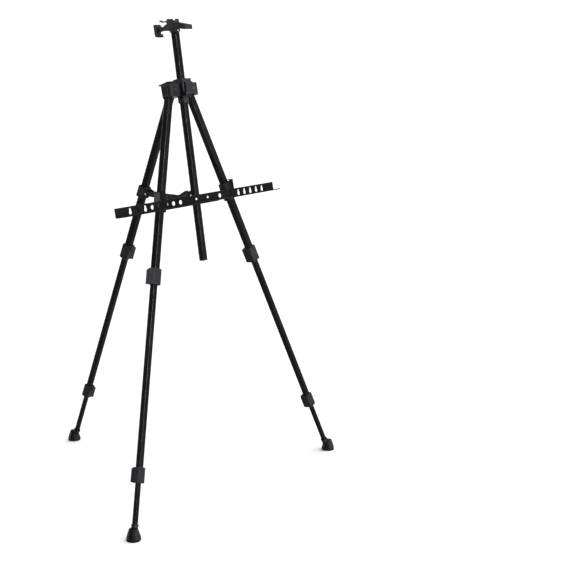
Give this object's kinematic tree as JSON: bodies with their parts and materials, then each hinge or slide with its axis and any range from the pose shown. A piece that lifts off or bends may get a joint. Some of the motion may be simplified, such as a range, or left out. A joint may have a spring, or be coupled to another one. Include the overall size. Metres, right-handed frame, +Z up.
{
  "type": "tripod field easel",
  "caption": "Folding tripod field easel with telescoping square-tube legs, flip locks, a sliding mast with a canvas clamp, and a lift-off perforated tray.",
  "frame": {"origin": "on the floor, at the middle of the outline of the three feet", "axes": "+Z up, -Y towards the painter, where the tray and the jaw are, +X across the tray"},
  "size_m": [0.717, 0.5846, 1.0556],
  "materials": {
    "black_anodised_tube": "gloss black powder coat",
    "black_painted_sheet": "satin black paint",
    "rubber": "matt",
    "bright_steel": "blackened and bright",
    "lever_plastic": "fine texture",
    "moulded_plastic": "fine texture"
  },
  "bodies": {
    "head": {"head_casting": "moulded_plastic", "rear_leg_yoke": "moulded_plastic", "mast_bush": "moulded_plastic", "front_leg_pivot_pins": "bright_steel", "rear_leg_pivot_pin": "bright_steel", "yoke_screws": "bright_steel", "mast_lock_pin": "bright_steel"},
    "mast_lock": {"mast_lock_lever": "lever_plastic"},
    "mast": {"mast_tube": "black_anodised_tube", "mast_end_cap": "moulded_plastic", "clamp_body": "moulded_plastic", "clamp_pins": "bright_steel"},
    "jaw": {"clamp_jaw": "moulded_plastic", "clamp_grip": "moulded_plastic"},
    "clamp_thumb": {"clamp_lever": "lever_plastic"},
    "tray": {"tray_left_half": "black_painted_sheet", "tray_right_half": "black_painted_sheet", "tray_rivets": "bright_steel", "tray_clips": "black_painted_sheet"},
    "front_left_upper": {"front_left_top_fitting": "moulded_plastic", "front_left_upper_tube": "black_anodised_tube", "front_left_upper_lock": "moulded_plastic", "front_left_upper_lever_pin": "bright_steel", "front_left_tray_collar": "moulded_plastic"},
    "front_left_upper_clip": {"front_left_upper_lever": "lever_plastic"},
    "front_left_middle": {"front_left_middle_tube": "black_anodised_tube", "front_left_lower_lock": "moulded_plastic", "front_left_lower_lever_pin": "bright_steel"},
    "front_left_lower_clip": {"front_left_lower_lever": "lever_plastic"},
    "front_left_foot": {"front_left_lower_tube": "black_anodised_tube", "front_left_ferrule": "moulded_plastic", "front_left_rubber_foot": "rubber"},
    "front_right_upper": {"front_right_top_fitting": "moulded_plastic", "front_right_upper_tube": "black_anodised_tube", "front_right_upper_lock": "moulded_plastic", "front_right_upper_lever_pin": "bright_steel", "front_right_tray_collar": "moulded_plastic"},
    "front_right_upper_clip": {"front_right_upper_lever": "lever_plastic"},
    "front_right_middle": {"front_right_middle_tube": "black_anodised_tube", "front_right_lower_lock": "moulded_plastic", "front_right_lower_lever_pin": "bright_steel"},
    "front_right_lower_clip": {"front_right_lower_lever": "lever_plastic"},
    "front_right_foot": {"front_right_lower_tube": "black_anodised_tube", "front_right_ferrule": "moulded_plastic", "front_right_rubber_foot": "rubber"},
    "rear_upper": {"rear_top_fitting": "moulded_plastic", "rear_upper_tube": "black_anodised_tube", "rear_upper_lock": "moulded_plastic", "rear_upper_lever_pin": "bright_steel", "brace_collar": "moulded_plastic", "brace_pin": "bright_steel"},
    "rear_upper_clip": {"rear_upper_lever": "lever_plastic"},
    "rear_middle": {"rear_middle_tube": "black_anodised_tube", "rear_lower_lock": "moulded_plastic", "rear_lower_lever_pin": "bright_steel"},
    "rear_lower_clip": {"rear_lower_lever": "lever_plastic"},
    "rear_foot": {"rear_lower_tube": "black_anodised_tube", "rear_ferrule": "moulded_plastic", "rear_rubber_foot": "rubber"},
    "brace": {"brace_fork": "moulded_plastic"}
  },
  "joints": [
    {"name": "front_left_leg_fold", "type": "hinge", "parent": "head", "child": "front_left_upper", "pos_m": [-0.02941, -0.10783, 0.90163], "axis": [0, -0.9829, 0.1841], "range_deg": [0, 18.87]},
    {"name": "front_left_middle_slide", "type": "slide", "parent": "front_left_upper", "child": "front_left_middle", "axis": [-0.3234, -0.1742, -0.9301], "range_m": [-0.3628, 0]},
    {"name": "front_left_lower_slide", "type": "slide", "parent": "front_left_middle", "child": "front_left_foot", "axis": [-0.3234, -0.1742, -0.9301], "range_m": [-0.0839, 0.2589]},
    {"name": "front_left_upper_lock_flip", "type": "hinge", "parent": "front_left_upper", "child": "front_left_upper_clip", "pos_m": [-0.16793, -0.17075, 0.50109], "axis": [-0.9463, 0.0595, 0.3179], "range_deg": [0, 80]},
    {"name": "front_left_lower_lock_flip", "type": "hinge", "parent": "front_left_middle", "child": "front_left_lower_clip", "pos_m": [-0.30374, -0.24489, 0.11073], "axis": [-0.9463, 0.0595, 0.3179], "range_deg": [0, 80]},
    {"name": "front_right_leg_fold", "type": "hinge", "parent": "head", "child": "front_right_upper", "pos_m": [0.02941, -0.10783, 0.90163], "axis": [0, 0.9829, -0.1841], "range_deg": [0, 18.87]},
    {"name": "front_right_middle_slide", "type": "slide", "parent": "front_right_upper", "child": "front_right_middle", "axis": [0.3234, -0.1742, -0.9301], "range_m": [-0.3492, 0.0136]},
    {"name": "front_right_lower_slide", "type": "slide", "parent": "front_right_middle", "child": "front_right_foot", "axis": [0.3234, -0.1742, -0.9301], "range_m": [-0.0975, 0.2453]},
    {"name": "front_right_upper_lock_flip", "type": "hinge", "parent": "front_right_upper", "child": "front_right_upper_clip", "pos_m": [0.16793, -0.17075, 0.50109], "axis": [-0.9463, -0.0595, -0.3179], "range_deg": [0, 80]},
    {"name": "front_right_lower_lock_flip", "type": "hinge", "parent": "front_right_middle", "child": "front_right_lower_clip", "pos_m": [0.29934, -0.24252, 0.12338], "axis": [-0.9463, -0.0595, -0.3179], "range_deg": [0, 80]},
    {"name": "rear_leg_fold", "type": "hinge", "parent": "head", "child": "rear_upper", "pos_m": [0, -0.08977, 0.90166], "axis": [-1, 0, 0], "range_deg": [0, 27]},
    {"name": "rear_middle_slide", "type": "slide", "parent": "rear_upper", "child": "rear_middle", "axis": [0, 0.3765, -0.9264], "range_m": [-0.3452, 0.0176]},
    {"name": "rear_lower_slide", "type": "slide", "parent": "rear_middle", "child": "rear_foot", "axis": [0, 0.3765, -0.9264], "range_m": [-0.1054, 0.2374]},
    {"name": "rear_upper_lock_flip", "type": "hinge", "parent": "rear_upper", "child": "rear_upper_clip", "pos_m": [0, 0.06048, 0.50041], "axis": [1, 0, 0], "range_deg": [0, 80]},
    {"name": "rear_lower_lock_flip", "type": "hinge", "parent": "rear_middle", "child": "rear_lower_clip", "pos_m": [0, 0.21289, 0.12809], "axis": [1, 0, 0], "range_deg": [0, 80]},
    {"name": "brace_swing", "type": "hinge", "parent": "rear_upper", "child": "brace", "pos_m": [0, -0.00979, 0.66107], "axis": [1, 0, 0], "range_deg": [0, 100]},
    {"name": "mast_slide", "type": "slide", "parent": "head", "child": "mast", "axis": [0, 0.1456, 0.9893], "range_m": [-0.095, 0.33]},
    {"name": "mast_lock_flip", "type": "hinge", "parent": "head", "child": "mast_lock", "pos_m": [0, -0.14188, 0.89574], "axis": [1, 0, 0], "range_deg": [0, 75]},
    {"name": "jaw_slide", "type": "slide", "parent": "mast", "child": "jaw", "axis": [0, -0.9893, 0.1456], "range_m": [0, 0.015]},
    {"name": "clamp_thumb_lift", "type": "hinge", "parent": "mast", "child": "clamp_thumb", "pos_m": [0, -0.08645, 1.05265], "axis": [1, 0, 0], "range_deg": [0, 60]},
    {"name": "tray_lift", "type": "slide", "parent": "head", "child": "tray", "axis": [0, 0.1456, 0.9893], "range_m": [0, 0.04]}
  ],
  "couplings": [
    {"joint": "brace_swing", "follows": "rear_leg_fold", "ratio": 3.7}
  ]
}
